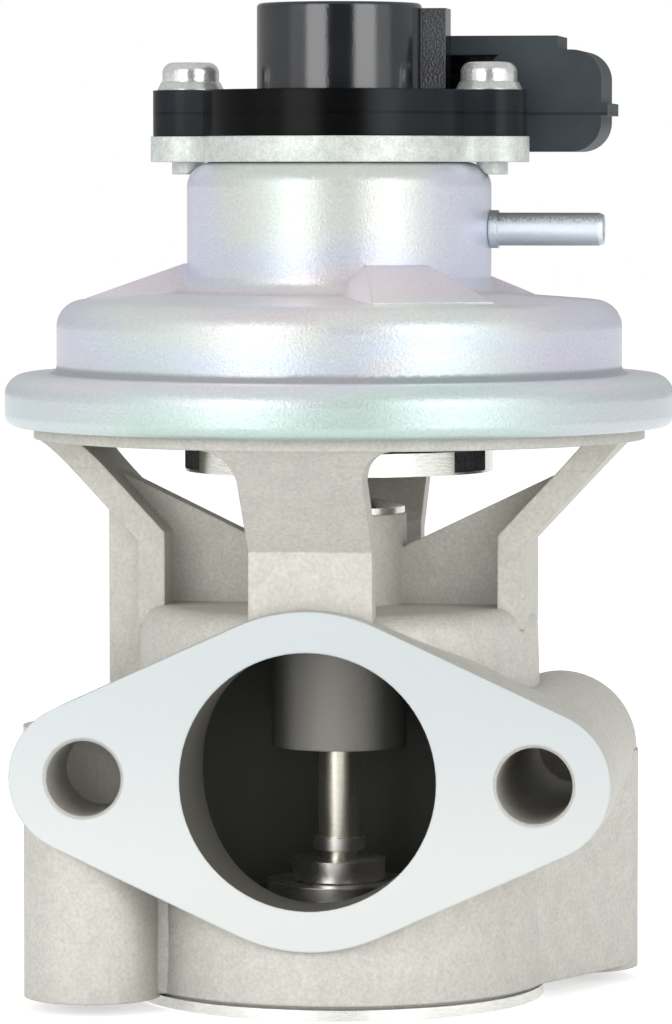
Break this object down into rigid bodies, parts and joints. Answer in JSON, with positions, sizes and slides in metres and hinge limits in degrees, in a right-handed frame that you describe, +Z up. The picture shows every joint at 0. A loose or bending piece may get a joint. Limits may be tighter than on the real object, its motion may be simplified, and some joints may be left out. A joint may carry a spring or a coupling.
{
  "type": "egr valve",
  "caption": "Vacuum operated exhaust gas recirculation valve: cast body with outlet flange and open basket, crimped diaphragm can, lift sensor with connector on top.",
  "frame": {"origin": "centre of the inlet face, on the valve stem's axis", "axes": "+Z up along the stem to the sensor, -Y out of the outlet flange, +X along the vacuum pipe"},
  "size_m": [0.0814, 0.0814, 0.1205],
  "materials": {
    "cast_aluminium": "sand cast, fine grain",
    "gasket_steel": "bright sheet",
    "seat_steel": "turned",
    "stem_steel": "ground",
    "bush_iron": "sintered",
    "seal_steel": "bright pressed",
    "zinc_can": "zinc plated, iridescent passivation",
    "zinc_pipe": "zinc plated",
    "zinc_plate": "zinc plated, matt",
    "plate_steel": "pressed",
    "spring_steel": "drawn wire",
    "nut_steel": "plated",
    "screw_steel": "bright plated",
    "rubber": "smooth",
    "filter_foam": "open foam",
    "base_plastic": "moulded",
    "cap_plastic": "moulded",
    "works_plastic": "moulded",
    "card": "laminate",
    "contact_metal": "tinned brass"
  },
  "bodies": {
    "housing": {"valve_body": "cast_aluminium", "inlet_gasket": "gasket_steel", "valve_seat": "seat_steel", "guide_bush": "bush_iron", "stem_seal": "seal_steel", "spring_seat": "plate_steel", "filter_cover": "seal_steel", "vent_filter": "filter_foam", "vacuum_can": "zinc_can", "vacuum_pipe": "zinc_pipe", "sensor_plate": "zinc_plate", "sensor_oring": "rubber", "sensor_housing": "base_plastic", "sensor_cap": "cap_plastic", "connector_terminals": "contact_metal", "screw_washers": "screw_steel", "sensor_screws": "screw_steel", "plunger_guide": "works_plastic", "track_card": "card", "diaphragm": "rubber", "return_spring": "spring_steel", "plunger_spring": "spring_steel"},
    "valve": {"valve_stem": "stem_steel", "valve_disc": "seat_steel", "stem_collar": "seat_steel", "lower_plate": "plate_steel", "upper_plate": "plate_steel", "stem_nut": "nut_steel"},
    "plunger": {"sensor_plunger": "works_plastic", "wiper_carrier": "works_plastic", "wiper": "contact_metal"}
  },
  "joints": [
    {"name": "valve_lift", "type": "slide", "parent": "housing", "child": "valve", "axis": [0, 0, 1], "range_m": [0, 0.0055], "stiffness_N_per_m": 2000, "springref_m": -0.006, "deforming": ["diaphragm", "return_spring"]},
    {"name": "sensor_follow", "type": "slide", "parent": "housing", "child": "plunger", "axis": [0, 0, 1], "range_m": [0, 0.0055], "deforming": ["plunger_spring"]}
  ],
  "couplings": [
    {"joint": "sensor_follow", "follows": "valve_lift", "ratio": 1}
  ]
}
